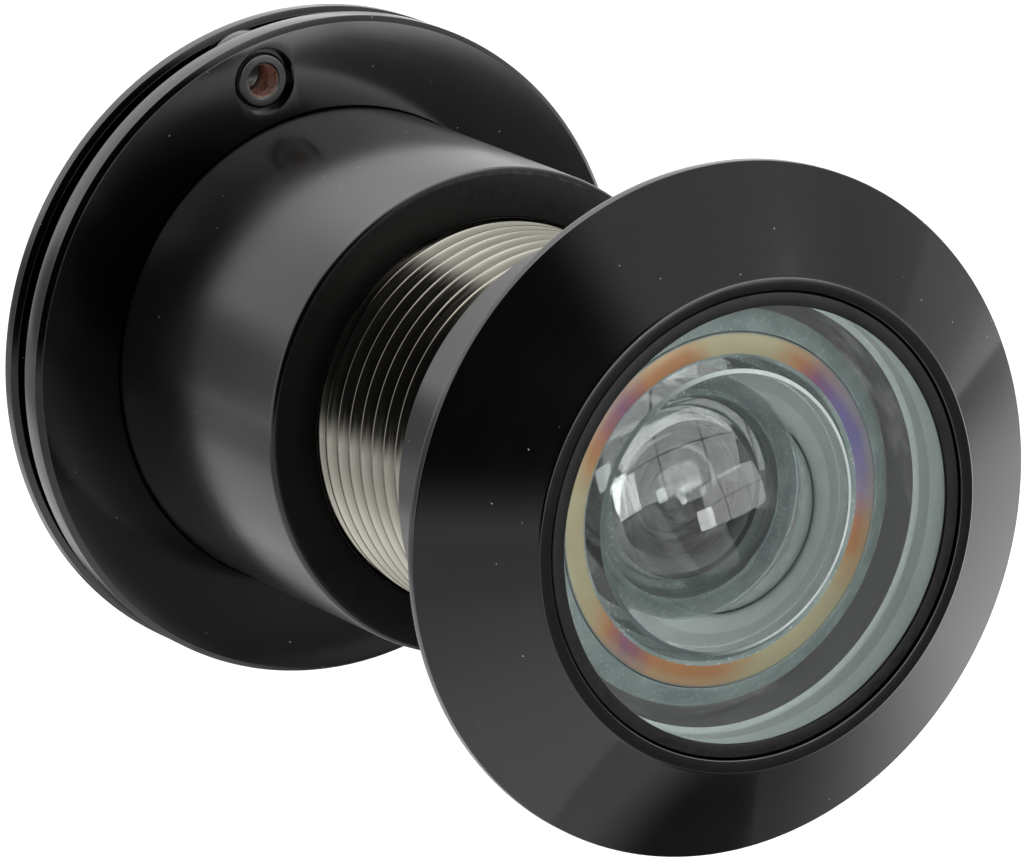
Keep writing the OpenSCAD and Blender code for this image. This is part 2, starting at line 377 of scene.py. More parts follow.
def black_coat(name, roughness=0.12, marks=0.5, pivot_z=0.0, dust=0.25, wear_and_painted_light=0.022):
    """Deep black satin coating over fine concentric turning marks."""
    material, n, shader = new_material(name)
    place, _, rings = round_places(n, pivot_z)
    fine = n.noise(rings, 9000.0, 2.0)
    broad = n.noise(rings, 900.0, 3.0)
    cloud = n.noise(place, 160.0, 4.0)
    edge = edge_mask(n, 0.12)
    dusty = specks(n, place, 1200.0, dust, 0.07)
    colour = n.mix(n.math("MULTIPLY", broad, cloud), grey(0.0004), grey(0.0026, 0.1))
    # lighter edges: wear with the default colour; where the caller gives a light colour, a painted highlight
    colour = n.mix(n.math("MULTIPLY", edge, n.ramp(cloud, 0.42, 0.7, 0.1, 0.8)), colour, grey(wear_and_painted_light, 0.06))
    n.put(shader["Base Color"], n.mix(n.math("MULTIPLY", dusty, 0.8), colour, grey(0.25)))
    rough = n.ramp(n.math("ADD", n.math("MULTIPLY", fine, 0.55), n.math("MULTIPLY", cloud, 0.45)), 0.3, 0.7,
                   roughness * 0.86, roughness * 1.14, smooth=False)
    n.put(shader["Roughness"], n.math("ADD", rough, n.math("MULTIPLY", dusty, 0.4)))
    shader["IOR"].default_value = 1.5
    # the marks run round the part, so highlights spread across them
    shader["Anisotropic"].default_value = 0.7
    shader["Anisotropic Rotation"].default_value = 0.25
    n.put(shader["Tangent"], n.add("ShaderNodeTangent", direction_type="RADIAL", axis="Y"))
    height = n.math("ADD", n.math("MULTIPLY", fine, 0.6), n.math("MULTIPLY", broad, 0.4))
    bump = {"Height": height, "Strength": marks, "Distance": 0.0000012}
    n.put(shader["Normal"], n.add("ShaderNodeBump", bump))
    return material


def nickel(name):
    """Nickel plating on a cut thread: darker grooves, fine cutting lines, painted shade on the crest tips."""
    material, n, shader = new_material(name)
    place, radius, rings = round_places(n)
    lines = n.noise(rings, 7000.0, 2.0)
    cloud = n.noise(place, 220.0, 5.0)
    depth = n.ramp(radius, (THREAD_R - THREAD_DEPTH) * MM, THREAD_R * MM)
    colour = n.mix(depth, (0.21, 0.20, 0.17, 1), (0.42, 0.405, 0.35, 1))
    # painted shade: the crest tips are darker, which tones their highlight down
    crest = n.ramp(radius, (THREAD_R - 0.06) * MM, (THREAD_R - 0.01) * MM)
    colour = n.mix(crest, colour, (0.14, 0.13, 0.115, 1))
    n.put(shader["Base Color"], n.mix(n.ramp(cloud, 0.4, 0.8, 0.0, 0.7), colour, (0.27, 0.25, 0.205, 1)))
    shader["Metallic"].default_value = 1.0
    shader["Anisotropic"].default_value = 0.5
    shader["Anisotropic Rotation"].default_value = 0.25
    n.put(shader["Tangent"], n.add("ShaderNodeTangent", direction_type="RADIAL", axis="Y"))
    n.put(shader["Roughness"], n.ramp(n.math("MULTIPLY", lines, cloud), 0.1, 0.4, 0.11, 0.22))
    n.put(shader["Normal"], n.add("ShaderNodeBump", {"Height": lines, "Strength": 0.5, "Distance": 0.000004}))
    return material


def rubber(name):
    """Dull black rubber with a fine grain."""
    material, n, shader = new_material(name)
    place = object_place(n)
    grain = n.noise(place, 2600.0, 4.0)
    cloud = n.noise(place, 300.0, 3.0)
    n.put(shader["Base Color"], n.mix(cloud, grey(0.001), grey(0.005)))
    n.put(shader["Roughness"], n.ramp(grain, 0.3, 0.7, 0.3, 0.5))
    shader["Specular IOR Level"].default_value = 0.15
    n.put(shader["Normal"], n.add("ShaderNodeBump", {"Height": grain, "Strength": 0.6, "Distance": 0.00001}))
    return material


def polished_glass(name):
    """Clear optical glass with the faintest smear on its faces."""
    material, n, shader = new_material(name)
    place = object_place(n)
    smear = n.noise(place, 130.0, 4.0)
    n.put(shader["Base Color"], n.mix(smear, (0.955, 0.985, 0.975, 1), (0.98, 0.995, 0.99, 1)))
    n.put(shader["Roughness"], n.ramp(smear, 0.45, 0.8, 0.0, 0.015))
    shader["Transmission Weight"].default_value = 1.0
    shader["IOR"].default_value = 1.52
    return material


def ground_glass(name, pale, deep, y_split, wear_and_painted_light=None):
    """The frosted edge of a lens, seen through the glass. It is paler in front of y_split. Where a colour is
    given for the side towards -X, that side has it as painted shade."""
    material, n, shader = new_material(name)
    place = object_place(n)
    x, y, _ = n.split(place)
    grain = n.noise(place, 3500.0, 3.0)
    cloud = n.noise(place, 240.0, 4.0)
    blend = 0.1
    behind = n.ramp(y, (y_split - blend) * MM, (y_split + blend) * MM)
    colour = n.mix(behind, pale, deep)
    # painted shade: the side towards -X takes the darker colour given for it
    if wear_and_painted_light:
        wavy_x = n.math("ADD", x, n.math("MULTIPLY", cloud, 2 * MM))
        colour = n.mix(n.ramp(wavy_x, -3 * MM, 4 * MM), wear_and_painted_light, colour)
    shaded = n.mix(n.math("MULTIPLY", grain, cloud), colour, n.mix(0.4, colour, grey(0.02)))
    n.put(shader["Base Color"], shaded)
    n.put(shader["Roughness"], n.ramp(grain, 0.3, 0.7, 0.55, 0.8))
    n.put(shader["Normal"], n.add("ShaderNodeBump", {"Height": grain, "Strength": 0.5, "Distance": 0.00002,
                                                     "Normal": frontward(n, 0.6)}))
    return material


def cell_metal(name, pitted=0.6):
    """Fine-blasted aluminium with a teal cast."""
    material, n, shader = new_material(name)
    place = object_place(n)
    grain = n.noise(place, 5200.0, 3.0)
    blotch = n.noise(place, 420.0, 4.0)
    pits = specks(n, place, 3800.0, 0.35, 0.45)
    colour = n.mix(n.ramp(blotch, 0.3, 0.7), (0.125, 0.162, 0.159, 1), (0.20, 0.245, 0.24, 1))
    n.put(shader["Base Color"], n.mix(n.math("MULTIPLY", pits, pitted), colour, (0.40, 0.48, 0.46, 1)))
    shader["Metallic"].default_value = 0.2
    n.put(shader["Roughness"], n.ramp(grain, 0.3, 0.7, 0.5, 0.75))
    n.put(shader["Normal"], n.add("ShaderNodeBump", {"Height": grain, "Strength": 0.6, "Distance": 0.00002,
                                                     "Normal": frontward(n, 0.5)}))
    return material


def iridescent(name):
    """The cell's front ring under the first lens, with interference colours round it."""
    material, n, shader = new_material(name)
    place, radius, rings = round_places(n)
    x, _, z = n.split(place)
    # the angle clockwise from the pivot, as seen from the street, from 0 to 1
    turn = n.math("FRACT", n.math("ADD", n.math("DIVIDE", n.math("ARCTAN2", x, z), 2 * math.pi), 1.0))
    drift = n.noise(place, 260.0, 3.0)
    hue = n.math("ADD", turn, n.math("MULTIPLY", n.math("SUBTRACT", drift, 0.5), 0.10))
    straw, orange, purple = (0.60, 0.53, 0.30, 1), (0.58, 0.22, 0.045, 1), (0.28, 0.07, 0.20, 1)
    violet, lilac = (0.18, 0.16, 0.46, 1), (0.38, 0.29, 0.46, 1)
    ramp = n.tree.nodes.new("ShaderNodeValToRGB")
    stops = [
        (0.00, orange), (0.035, straw), (0.085, straw), (0.13, orange), (0.17, purple), (0.23, violet),
        (0.30, lilac), (0.345, orange), (0.39, straw), (0.50, straw), (0.56, orange), (0.64, orange),
        (0.665, purple), (0.69, orange), (0.73, straw), (0.83, straw), (0.87, orange), (0.92, purple),
        (0.96, orange), (1.00, orange),
    ]
    elements = ramp.color_ramp.elements
    elements[0].position, elements[0].color = stops[0]
    elements[1].position, elements[1].color = stops[-1]
    for position, colour in stops[1:-1]:
        elements.new(position).color = colour
    n.put(ramp.inputs[0], hue)
    # the colour is deepest at the inner edge, pales to straw, and ends in the metal's own grey
    paling = n.ramp(n.math("ADD", radius, n.math("MULTIPLY", drift, 0.0006)), 9.2 * MM, 9.8 * MM)
    colour = n.mix(n.math("MULTIPLY", paling, 0.4), ramp.outputs[0], straw)
    outer_edge = n.ramp(radius, (RING_OUTER_R - 0.15) * MM, RING_OUTER_R * MM)
    colour = n.mix(outer_edge, colour, (0.20, 0.25, 0.25, 1))
    n.put(shader["Base Color"], n.mix(0.54, colour, grey(0.02)))
    shader["Metallic"].default_value = 0.25
    n.put(shader["Roughness"], n.ramp(n.noise(rings, 5000.0, 2.0), 0.3, 0.7, 0.3, 0.5))
    return material


def shoulder_black(name):
    """The blackened back of the first lens outside the cell, with fine pale turning lines."""
    material, n, shader = new_material(name)
    place, _, rings = round_places(n)
    lines = n.ramp(n.noise(rings, 2600.0, 4.0, 0.65), 0.50, 0.70)
    patches = n.ramp(n.noise(place, 330.0, 3.0), 0.35, 0.65, 0.25, 1.0)
    n.put(shader["Base Color"], n.mix(n.math("MULTIPLY", lines, patches), grey(0.07, 0.02), grey(0.26, 0.04)))
    n.put(shader["Roughness"], n.ramp(lines, 0.0, 1.0, 0.5, 0.7))
    return material


def matt_black(name, lightest=0.012):
    """Blackened inner faces that hold stray light down."""
    material, n, shader = new_material(name)
    place, _, rings = round_places(n)
    lines = n.noise(rings, 2600.0, 2.0)
    cloud = n.noise(place, 300.0, 4.0)
    n.put(shader["Base Color"], n.mix(cloud, grey(0.004), grey(lightest)))
    n.put(shader["Roughness"], n.ramp(lines, 0.3, 0.7, 0.5, 0.8))
    n.put(shader["Normal"], n.add("ShaderNodeBump", {"Height": lines, "Strength": 0.4, "Distance": 0.00001}))
    return material


def copper(name):
    """The bare bore of the rivet, dark in its depth."""
    material, n, shader = new_material(name)
    place, _, rings = round_places(n, PIVOT_Z)
    _, y, _ = n.split(place)
    lines = n.noise(rings, 4000.0, 2.0)
    cloud = n.noise(place, 900.0, 4.0)
    copper_red = n.mix(n.ramp(cloud, 0.35, 0.65), (0.50, 0.24, 0.17, 1), (0.95, 0.72, 0.64, 1))
    deep = n.ramp(y, (RIVET_FRONT + 1.5) * MM, (RIVET_FRONT + 2.3) * MM)
    n.put(shader["Base Color"], n.mix(deep, copper_red, grey(0.01)))
    shader["Metallic"].default_value = 0.45
    n.put(shader["Roughness"], n.ramp(lines, 0.3, 0.7, 0.2, 0.42))
    n.put(shader["Normal"], n.add("ShaderNodeBump", {"Height": lines, "Strength": 0.6, "Distance": 0.000008}))
    return material


def spring_steel(name):
    """Bare steel with fine lines."""
    material, n, shader = new_material(name)
    place = object_place(n)
    lines = n.noise(place, 3000.0, 3.0)
    n.put(shader["Base Color"], n.mix(lines, grey(0.42), grey(0.60)))
    shader["Metallic"].default_value = 1.0
    n.put(shader["Roughness"], n.ramp(lines, 0.3, 0.7, 0.25, 0.4))
    return material


def felt(name):
    """Short black fibres."""
    material, n, shader = new_material(name)
    place = object_place(n)
    fibres = n.noise(place, 5200.0, 6.0, 0.7)
    cloud = n.noise(place, 500.0, 3.0)
    n.put(shader["Base Color"], n.mix(n.math("MULTIPLY", fibres, cloud), grey(0.006), grey(0.05)))
    n.put(shader["Roughness"], n.ramp(fibres, 0.2, 0.8, 0.85, 1.0))
    shader["Sheen Weight"].default_value = 0.4
    n.put(shader["Normal"], n.add("ShaderNodeBump", {"Height": fibres, "Strength": 1.0, "Distance": 0.00006}))
    return material


COAT = black_coat("black_coat")
SLEEVE_COAT = black_coat("sleeve_coat", roughness=0.18, marks=0.3, dust=0.15)
# a painted highlight: the pivot pieces' edges take a light colour
PIVOT_COAT = black_coat("pivot_coat", roughness=0.2, marks=0.4, pivot_z=PIVOT_Z, dust=0.0, wear_and_painted_light=0.25)
NICKEL = nickel("nickel_thread")
RUBBER = rubber("black_rubber")
SLEEVE_END = rubber("sleeve_end")
GLASS = polished_glass("polished_glass")
EDGE_PALE = (0.80, 0.92, 0.88, 1)
EDGE_DEEP = (0.62, 0.70, 0.68, 1)
EDGE_SPLIT = LENS_FRONT + 3.1
RIM_WHITE = (0.82, 0.88, 0.86, 1)
# painted shade: the darker colour of the ground rim on its -X side
RIM_PAINTED_SHADE = (0.10, 0.13, 0.13, 1)
INNER_TEAL = (0.34, 0.40, 0.39, 1)
GROUND = ground_glass("ground_edge", EDGE_PALE, EDGE_DEEP, EDGE_SPLIT)
GROUND_RIM = ground_glass("ground_rim", RIM_WHITE, RIM_WHITE, LENS_BACK, wear_and_painted_light=RIM_PAINTED_SHADE)
GROUND_INNER = ground_glass("ground_inner", INNER_TEAL, INNER_TEAL, SECOND_BACK)
CELL = cell_metal("cell_metal")
CLAMP = cell_metal("clamp_metal")
IRIDESCENT = iridescent("iridescent_ring")
SHOULDER_BLACK = shoulder_black("shoulder_black")
TEAL = cell_metal("teal_metal", pitted=0.25)
INNER_BLACK = matt_black("inner_black")
COPPER = copper("rivet_copper")
SPRING = spring_steel("spring_steel")
FELT = felt("black_felt")


def dress(obj, node, *materials):
    """Gives the piece its materials and hangs it on its CAD node's body."""
    obj.data.materials.clear()
    for material in materials:
        obj.data.materials.append(material)
    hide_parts(node)
    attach(obj, BODY_OF[node])
    return obj


def paint_faces(obj, index, test):
    """Gives a material's index to the faces whose middle (radius, y in mm) passes the test."""
    for face in obj.data.polygons:
        x, y, z = face.center / MM
        if test(math.hypot(x, z), y):
            face.material_index = index


# ------------------------------------------------------------------ outer half
def build_flange():
    """Coned flange with a lip round the lens, a stepped recess behind it, and the collar."""
    chamfer = 0.3
    points = outline([
        (FLANGE_R, -RIM_T, 0.12), (LIP_R, LIP_Y + 0.1, 0.05), (LIP_R - 0.1, LIP_Y, 0.05),
        (LIP_BORE_R, LIP_Y, 0.07), (LIP_BORE_R, LENS_BACK + GAP), (LEDGE_R, LENS_BACK + GAP, 0.05),
        (STEP_R, RING_Y + STEP_DEPTH, 0.1), (CELL_R + 0.05, RING_Y, 0.05),
        (CELL_R + 0.05, BARREL_FRONT), (PLUG_R, BARREL_FRONT), (PLUG_R, COLLAR_END),
        (COLLAR_R - chamfer, COLLAR_END), (COLLAR_R, COLLAR_END - chamfer), (COLLAR_R, 0, 0.1),
        (FLANGE_R, 0, 0.1),
    ])
    flange = lathe("outer_flange_turned", points)
    dress(flange, "outer_flange", COAT, SHOULDER_BLACK, TEAL)
    paint_faces(flange, 1, lambda r, y: STEP_R < r < LEDGE_R and LENS_BACK < y < RING_Y + 1)
    paint_faces(flange, 2, lambda r, y: CELL_R < r < STEP_R and RING_Y - 0.1 < y < RING_Y + 1)


def build_barrel():
    """The barrel with a true right-hand helical thread on its outside."""
    root_r = THREAD_R - THREAD_DEPTH
    bore_r, pocket_r, plug_r, seat_r = 8.2, THIRD_R + 0.05, PLUG_R - GAP, BAFFLE_R + 0.05
    start, end = COLLAR_END + 0.05, BARREL_BACK - 0.25
    root_share, crest_share, crest_drop = 0.42, 0.08, 0.08
    # where the section is sampled, as shares of one pitch: closest together on the crest
    across = [0.0, 0.06, 0.13, 0.30, 0.42, 0.455, 0.50, 0.545, 0.58, 0.70, 0.87, 0.94]

    def depth(share):
        """Height of the thread at a share of one pitch: flat root, straight flanks, rounded crest."""
        side = abs(share - 0.5)
        if side > root_share:
            return 0.0
        if side < crest_share:
            return 1.0 - crest_drop * (side / crest_share) ** 2
        return (1.0 - crest_drop) * (root_share - side) / (root_share - crest_share)

    bm = bmesh.new()
    columns = ROUND
    turns = math.ceil((end - start) / THREAD_PITCH) + 1
    rows = [(turn - 1 + share, depth(share)) for turn in range(turns + 1) for share in across]

    def fade(y):
        """The thread runs out to its root at each end."""
        run_in, run_out = 0.5, 0.35
        return max(0.0, min(1.0, (y - start) / run_in, (end - y) / run_out))

    grid = []
    for column in range(columns + 1):
        turn = column / columns
        angle = 2 * math.pi * turn
        line = []
        for place, height in rows:
            y = start + (place + turn) * THREAD_PITCH
            y = min(max(y, start), end)
            r = root_r + THREAD_DEPTH * height * fade(y)
            line.append((r * math.sin(angle) * MM, y * MM, r * math.cos(angle) * MM))
        grid.append(line)
    # the last column is the first one a pitch further on, so they are welded where they overlap
    verts = [[bm.verts.new(p) for p in line] for line in grid]
    for column in range(columns):
        for row in range(len(rows) - 1):
            a, b = verts[column][row], verts[column + 1][row]
            c, d = verts[column + 1][row + 1], verts[column][row + 1]
            bm.faces.new((a, d, c, b))
    bmesh.ops.remove_doubles(bm, verts=bm.verts, dist=2 * WELD)
    bmesh.ops.dissolve_degenerate(bm, dist=2 * WELD, edges=bm.edges)
    open_edges = [e for e in bm.edges if len(e.link_faces) == 1]
    loops = {"start": [], "end": []}
    for edge in open_edges:
        middle = (edge.verts[0].co.y + edge.verts[1].co.y) / 2 / MM
        loops["start" if middle < (start + end) / 2 else "end"].append(edge)

    def extend(edges, profile):
        """Carries an open end on through a row of (radius, y) rings and returns its last edges."""
        for r, y in profile:
            made = bmesh.ops.extrude_edge_only(bm, edges=edges)["geom"]
            for v in [g for g in made if isinstance(g, bmesh.types.BMVert)]:
                reach = math.hypot(v.co.x, v.co.z)
                v.co.x *= r * MM / reach
                v.co.z *= r * MM / reach
                v.co.y = y * MM
            edges = [g for g in made if isinstance(g, bmesh.types.BMEdge)]
        return edges

    chamfer, root_chamfer = 0.1, 0.2
    front = extend(loops["start"], [
        (plug_r, start - 0.05), (plug_r, BARREL_FRONT + chamfer), (plug_r - chamfer, BARREL_FRONT),
        (pocket_r + chamfer, BARREL_FRONT), (pocket_r, BARREL_FRONT + chamfer), (pocket_r, THIRD_BACK),
        (bore_r, THIRD_BACK),
    ])
    back = extend(loops["end"], [
        (root_r, BARREL_BACK - root_chamfer), (root_r - root_chamfer, BARREL_BACK),
        (seat_r + chamfer, BARREL_BACK), (seat_r, BARREL_BACK - chamfer), (seat_r, BAFFLE_FRONT),
        (bore_r, BAFFLE_FRONT),
    ])
    bmesh.ops.bridge_loops(bm, edges=front + back)
    obj = finish_mesh(bm, "threaded_barrel_cut", THREAD_SHARP_DEG)
    dress(obj, "threaded_barrel", NICKEL, INNER_BLACK)
    paint_faces(obj, 1, lambda r, y: r < seat_r + 0.05)


def build_objective():
    """The first lens: flat street face, ground edge, deep hollow behind."""
    bevel = 0.12
    rim = 0.22  # the ground chamfer round the hollow
    curve = cap(HOLLOW_R - rim, HOLLOW_SAG - rim, LENS_BACK - rim, -1, 48)
    points = vectors(
        (0, LENS_FRONT), (LENS_R - bevel, LENS_FRONT), (LENS_R, LENS_FRONT + bevel),
        (LENS_R, LENS_BACK - bevel), (LENS_R - bevel, LENS_BACK), (LEDGE_R, LENS_BACK), (HOLLOW_R, LENS_BACK),
    ) + curve
    obj = lathe("objective_lens_ground", points, segments=ROUND)
    dress(obj, "objective_lens", GLASS, GROUND, GROUND_RIM)
    paint_faces(obj, 1, lambda r, y: r > LENS_R - bevel * 0.99 or (r > LEDGE_R and y > LENS_BACK - 0.01))
    paint_faces(obj, 2, lambda r, y: HOLLOW_R - rim < r < HOLLOW_R and y > LENS_BACK - rim)

    seal_in, sleeve_in = 11.9, LENS_R + 0.04
    points = outline([
        (seal_in, SEAL_FRONT, 0.06), (SEAL_R, SEAL_FRONT, 0.1), (SEAL_R, LENS_BACK), (sleeve_in, LENS_BACK),
        (sleeve_in, LENS_FRONT + 0.01), (seal_in, LENS_FRONT, 0.03),
    ])
    dress(lathe("lens_seal_moulded", points), "lens_seal", RUBBER)


def build_cell():
    """The ring that holds the second lens. Its front face shows the interference colours."""
    inner, lip_in = SECOND_R + 0.05, 6.9
    chamfer_r, chamfer_y = 0.22, 0.18
    points = outline([
        (inner, RING_Y + chamfer_y, 0.05), (inner + chamfer_r, RING_Y, 0.05), (CELL_R, RING_Y, 0.03),
        (CELL_R, CELL_BACK), (lip_in, CELL_BACK), (lip_in, SECOND_BACK + GAP),
        (inner, SECOND_BACK + GAP, 0.0),
    ])
    obj = lathe("lens_cell_turned", points)
    dress(obj, "lens_cell", CELL, IRIDESCENT)
    paint_faces(obj, 1, lambda r, y: y < RING_Y + 0.03 and r > inner + chamfer_r - 0.02)

    ring_in, ring_out = 7.8, SECOND_R + 0.02
    points = outline([
        (ring_in, CLAMP_FRONT, 0.08), (ring_out, CLAMP_FRONT, 0.04), (ring_out, SECOND_FRONT - GAP),
        (ring_in, SECOND_FRONT - GAP),
    ], 0.03)
    dress(lathe("lens_clamp_ring_turned", points), "lens_clamp_ring", CLAMP)


def hollow_lens(name, node, r, front, back, hollow_r, sag):
    """A lens with a flat front, a hollow back and a ground edge."""
    bevel = 0.1
    curve = cap(hollow_r, sag, back, -1, 36)
    points = vectors(
        (0, front), (r - bevel, front), (r, front + bevel), (r, back - bevel), (r - bevel, back),
    ) + curve
    obj = lathe(name, points)
    dress(obj, node, GLASS, GROUND_INNER)
    paint_faces(obj, 1, lambda rr, y: rr > r - bevel * 0.99)


def build_inner_lenses():
    """The second and third lenses, the spacer between them, and the stop at the barrel's far end."""
    hollow_lens("second_lens_ground", "second_lens", SECOND_R, SECOND_FRONT, SECOND_BACK, 6.2, sag=2.2)
    hollow_lens("third_lens_ground", "third_lens", THIRD_R, THIRD_FRONT, THIRD_BACK, 5.6, sag=1.4)
    spacer_in = 7.4
    spacer = outline([
        (spacer_in, CELL_BACK + GAP), (THIRD_R, CELL_BACK + GAP), (THIRD_R, THIRD_FRONT - GAP),
        (spacer_in, THIRD_FRONT - GAP),
    ], 0.03)
    dress(lathe("lens_spacer_turned", spacer), "lens_spacer", INNER_BLACK)
    stop_r, mouth_r, mouth_depth = 5.5, 7.2, 0.8
    baffle = outline([
        (stop_r, BAFFLE_FRONT + mouth_depth), (stop_r, BAFFLE_BACK), (BAFFLE_R, BAFFLE_BACK),
        (BAFFLE_R, BAFFLE_FRONT), (mouth_r, BAFFLE_FRONT),
    ], 0.08)
    dress(lathe("light_baffle_turned", baffle), "light_baffle", INNER_BLACK)


# ------------------------------------------------------------------ turning sleeve with the eyepiece
def build_sleeve():
    """The sleeve with its coin slots, and the O-ring, gasket, eyepiece lens and ring that it carries."""
    hub_r, pocket_r, window_r, shoulder_r = 12.6, EYE_R + 0.05, 8.2, 14.6
    lip_front, lip_back = 39.5, 40.1
    groove_r, groove_front, groove_w = 13.2, ROSE_FRONT + 0.25, 0.7
    shoulder_back, shoulder_t = ROSE_BACK - 0.03, 0.5
    points = outline([
        (SLEEVE_BORE_R, SLEEVE_FRONT, 0.15), (SLEEVE_R, SLEEVE_FRONT, 0.4), (SLEEVE_R, groove_front, 0.03),
        (groove_r, groove_front, 0.03), (groove_r, groove_front + groove_w, 0.03),
        (SLEEVE_R, groove_front + groove_w, 0.03), (SLEEVE_R, shoulder_back - shoulder_t, 0.03),
        (shoulder_r, shoulder_back - shoulder_t, 0.05), (shoulder_r, shoulder_back, 0.12),
        (hub_r, shoulder_back, 0.05), (hub_r, HUB_BACK, 0.2), (pocket_r, HUB_BACK, 0.12),
        (pocket_r, lip_back, 0.03), (window_r, lip_back, 0.05), (window_r, lip_front, 0.05),
        (SLEEVE_BORE_R, lip_front, 0.03),
    ], steps=6)
    sleeve = lathe("inner_sleeve_turned", points)
    slot_w, slot_depth = 2.2, 0.6
    for side in (-1, 1):
        length = hub_r - pocket_r + 1.0
        middle = side * (hub_r + pocket_r) / 2
        cutter = block("slot", (slot_w, 2 * slot_depth, length), (0, HUB_BACK, middle), 0.12)
        cut(sleeve, cutter)
    dress(sleeve, "inner_sleeve", SLEEVE_COAT, SLEEVE_END)
    paint_faces(sleeve, 1, lambda r, y: y < SLEEVE_FRONT + 0.1 and r < SLEEVE_R - 0.2)

    play, cord_steps = 0.01, 20
    cord_r = (SLEEVE_R + 0.03 - groove_r) / 2 - play
    cord = [
        Vector((groove_r + cord_r + play + cord_r * math.cos(math.tau * i / cord_steps),
                groove_front + groove_w / 2 + cord_r * math.sin(math.tau * i / cord_steps)))
        for i in range(cord_steps)
    ]
    dress(lathe("sleeve_o_ring_moulded", cord), "sleeve_o_ring", RUBBER)

    gasket_in, gasket_back = 8.5, lip_back + 0.3
    gasket = outline([
        (gasket_in, lip_back), (EYE_R, lip_back), (EYE_R, gasket_back), (gasket_in, gasket_back),
    ], 0.05)
    dress(lathe("eyepiece_gasket_moulded", gasket), "eyepiece_gasket", RUBBER)

    curve_r, bulge = window_r - 0.1, 0.8
    front_edge, back_edge = EYE_FRONT + bulge, EYE_BACK - bulge
    bevel = 0.12
    front_face = cap(curve_r, bulge, front_edge, -1, 24)
    back_face = cap(curve_r, bulge, back_edge, 1, 24)
    points = front_face[::-1] + vectors(
        (EYE_R - bevel, front_edge), (EYE_R, front_edge + bevel), (EYE_R, back_edge - bevel),
        (EYE_R - bevel, back_edge),
    ) + back_face
    eyepiece = lathe("eyepiece_lens_ground", points)
    dress(eyepiece, "eyepiece_lens", GLASS, GROUND_INNER)
    paint_faces(eyepiece, 1, lambda r, y: r > EYE_R - bevel * 0.99)

    ring_out, ring_in = pocket_r - 0.02, 8.3
    points = outline([
        (ring_in, EYE_RING_FRONT), (ring_out, EYE_RING_FRONT), (ring_out, EYE_RING_BACK, 0.1),
        (ring_in + 0.5, EYE_RING_BACK, 0.15), (ring_in, EYE_RING_BACK - 0.5, 0.15),
    ], 0.05)
    ring = lathe("eyepiece_ring_turned", points)
    notch_w, notch_depth = 1.6, 0.5
    for side in (-1, 1):
        middle = side * (ring_out + ring_in) / 2
        length = ring_out - ring_in + 1.2
        cut(ring, block("notch", (length, 2 * notch_depth, notch_w), (middle, EYE_RING_BACK, 0), 0.1))
    dress(ring, "eyepiece_ring", COAT)


# ------------------------------------------------------------------ rose and pivot
def build_rose():
    """The flange on the room side, countersunk for the rivet."""
    bore_r = SLEEVE_R + 0.05
    seat_r, seat_y = 14.75, ROSE_BACK - 0.56
    chamfer, clear = 0.3, 1.0
    points = outline([
        (bore_r, ROSE_FRONT, 0.08), (ROSE_R - chamfer, ROSE_FRONT, 0.08),
        (ROSE_R, ROSE_FRONT + chamfer, 0.08), (ROSE_R, ROSE_BACK, 0.15), (seat_r, ROSE_BACK, 0.08),
        (seat_r, seat_y, 0.03), (bore_r, seat_y, 0.05),
    ])
    rose = lathe("rose_turned", points)
    flare = 0.08
    hole = vectors(
        (0, ROSE_FRONT - clear), (COUNTERSINK_R + flare, ROSE_FRONT - clear),
        (COUNTERSINK_R + flare, ROSE_FRONT), (COUNTERSINK_R, ROSE_FRONT + flare),
        (COUNTERSINK_R, ROSE_FRONT + COUNTERSINK_T),
        (RIVET_R, ROSE_FRONT + COUNTERSINK_T), (RIVET_R, ROSE_BACK + clear), (0, ROSE_BACK + clear),
    )
    cut(rose, lathe("hole", hole, PIVOT_Z, SMALL_ROUND))
    dress(rose, "rose", COAT)


def build_pivot():
    """The hollow rivet that the cover swings on, its spacer and its spring washer."""
    flare_r, head_y = 1.6, RIVET_BACK - HEAD_T + 0.03
    head_r, bore_end = high("pivot_rivet").x, RIVET_FRONT + 2.6
    drill_tip = 0.4
    side_t, dome_t, dome_steps = 0.36, 0.54, 10
    head_angles = [math.radians(90 * i / dome_steps) for i in range(dome_steps)]
    dome_y = RIVET_BACK - HEAD_T + side_t
    head = [Vector((head_r * math.cos(a), dome_y + dome_t * math.sin(a))) for a in head_angles]
    points = outline([
        (RIVET_BORE_R, RIVET_FRONT + 0.06, 0.05), (RIVET_BORE_R + 0.14, RIVET_FRONT, 0.06),
        (flare_r - 0.15, RIVET_FRONT, 0.1), (flare_r, RIVET_FRONT + 0.15, 0.08),
        (flare_r, ROSE_FRONT + COUNTERSINK_T, 0.02), (RIVET_R, ROSE_FRONT + COUNTERSINK_T, 0.0),
        (RIVET_R, head_y, 0.02), (head_r, head_y, 0.03),
    ], steps=5) + head + vectors((0, RIVET_BACK), (0, bore_end), (RIVET_BORE_R, bore_end - drill_tip))
    rivet = lathe("pivot_rivet_turned", points, PIVOT_Z, SMALL_ROUND)
    dress(rivet, "pivot_rivet", PIVOT_COAT, COPPER)
    for face in rivet.data.polygons:
        x, y, z = face.center / MM
        if math.hypot(x, z - PIVOT_Z) < RIVET_BORE_R + 0.03 and y < bore_end + 0.1:
            face.material_index = 1

    spacer_r = high("pivot_spacer").x
    spacer = outline([
        (RIVET_R + GAP, ROSE_BACK), (spacer_r, ROSE_BACK), (spacer_r, SPACER_BACK, 0.15),
        (RIVET_R + GAP, SPACER_BACK),
    ], 0.05)
    dress(lathe("pivot_spacer_turned", spacer, PIVOT_Z, SMALL_ROUND), "pivot_spacer", PIVOT_COAT)

    inner, outer, rise, thick = RIVET_R + 0.1, high("spring_washer").x, 0.18, 0.16
    washer = outline([
        (inner, SPACER_BACK + rise), (outer, SPACER_BACK), (outer, SPACER_BACK + thick),
        (inner, SPACER_BACK + rise + thick),
    ], 0.03, 3)
    dress(lathe("spring_washer_pressed", washer, PIVOT_Z, SMALL_ROUND), "spring_washer", SPRING)


